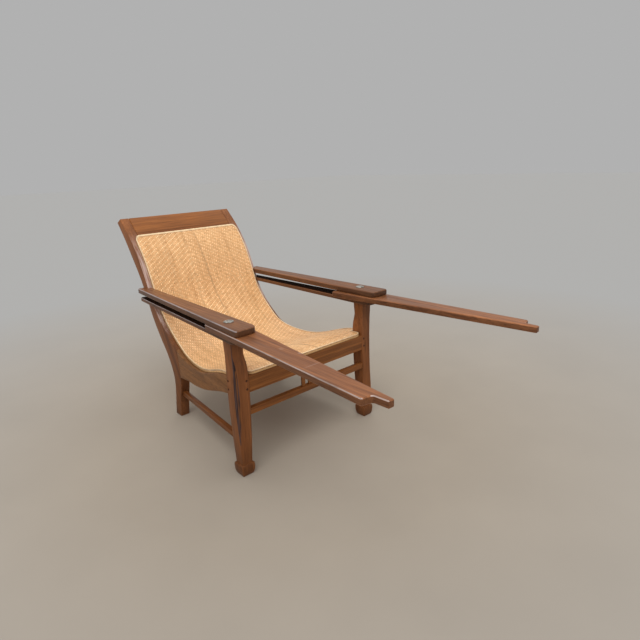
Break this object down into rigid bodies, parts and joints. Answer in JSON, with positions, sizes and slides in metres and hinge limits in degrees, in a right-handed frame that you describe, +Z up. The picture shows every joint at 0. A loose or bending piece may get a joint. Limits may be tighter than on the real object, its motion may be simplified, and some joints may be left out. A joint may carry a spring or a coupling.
{
  "type": "planters chair",
  "caption": "Reclining planters chair: a bent woven rattan seat in a joined hardwood frame, with slotted arms that hold swing-out leg rests on pivot bolts.",
  "frame": {"origin": "on the floor, below the middle of the box round the whole chair with both leg rests swung out to the front", "axes": "+Z up, +Y from the front of the chair to its back, +X to the right of somebody who stands in front of the chair and looks at it; left and right in the names are that person's"},
  "size_m": [0.786, 1.713, 0.858],
  "materials": {
    "frame_wood": "oiled reddish-brown hardwood with a worn satin sheen",
    "arm_wood": "darker hardwood, rubbed smooth, with pale worn edges",
    "peg_wood": "dark end grain",
    "lath_wood": "plain light brown laths",
    "woven_rattan": "close twill of split rattan, golden tan, varnished",
    "cane_edging": "pale split cane, satin",
    "worn_steel": "dull grey domed bolt head"
  },
  "bodies": {
    "chair_frame": {"arm_board_dowel_left": "peg_wood", "arm_board_dowel_right": "peg_wood", "arm_board_left": "arm_wood", "arm_board_right": "arm_wood", "arm_shelf_dowel_left": "peg_wood", "arm_shelf_dowel_right": "peg_wood", "arm_shelf_left": "arm_wood", "arm_shelf_right": "arm_wood", "crest_peg_left": "peg_wood", "crest_peg_right": "peg_wood", "crest_rail": "frame_wood", "front_leg_left": "frame_wood", "front_leg_right": "frame_wood", "front_rail": "frame_wood", "front_stretcher": "frame_wood", "front_upright_left": "frame_wood", "front_upright_middle": "frame_wood", "front_upright_right": "frame_wood", "leg_peg_front_high_left": "peg_wood", "leg_peg_front_high_right": "peg_wood", "leg_peg_front_low_left": "peg_wood", "leg_peg_front_low_right": "peg_wood", "leg_peg_side_high_left": "peg_wood", "leg_peg_side_high_right": "peg_wood", "leg_peg_side_low_left": "peg_wood", "leg_peg_side_low_right": "peg_wood", "mat_edging": "cane_edging", "panel_front_lath": "lath_wood", "panel_side_lath_left": "lath_wood", "panel_side_lath_right": "lath_wood", "panel_top_lath": "lath_wood", "pivot_bolt_left": "worn_steel", "pivot_bolt_right": "worn_steel", "post_left": "frame_wood", "post_right": "frame_wood", "rear_cross_rail": "frame_wood", "seat_rail_left": "frame_wood", "seat_rail_right": "frame_wood", "side_stretcher_left": "frame_wood", "side_stretcher_right": "frame_wood", "woven_mat": "woven_rattan"},
    "leg_rest_left": {"leg_rest_left": "arm_wood"},
    "leg_rest_right": {"leg_rest_right": "arm_wood"}
  },
  "joints": [
    {"name": "leg_rest_left_swing", "type": "hinge", "parent": "chair_frame", "child": "leg_rest_left", "pos_m": [-0.316, -0.11854, 0.57656], "axis": [0, -0.0101, -0.9999], "range_deg": [0, 178]},
    {"name": "leg_rest_right_swing", "type": "hinge", "parent": "chair_frame", "child": "leg_rest_right", "pos_m": [0.316, -0.11854, 0.57656], "axis": [0, 0.0101, 0.9999], "range_deg": [0, 178]}
  ]
}
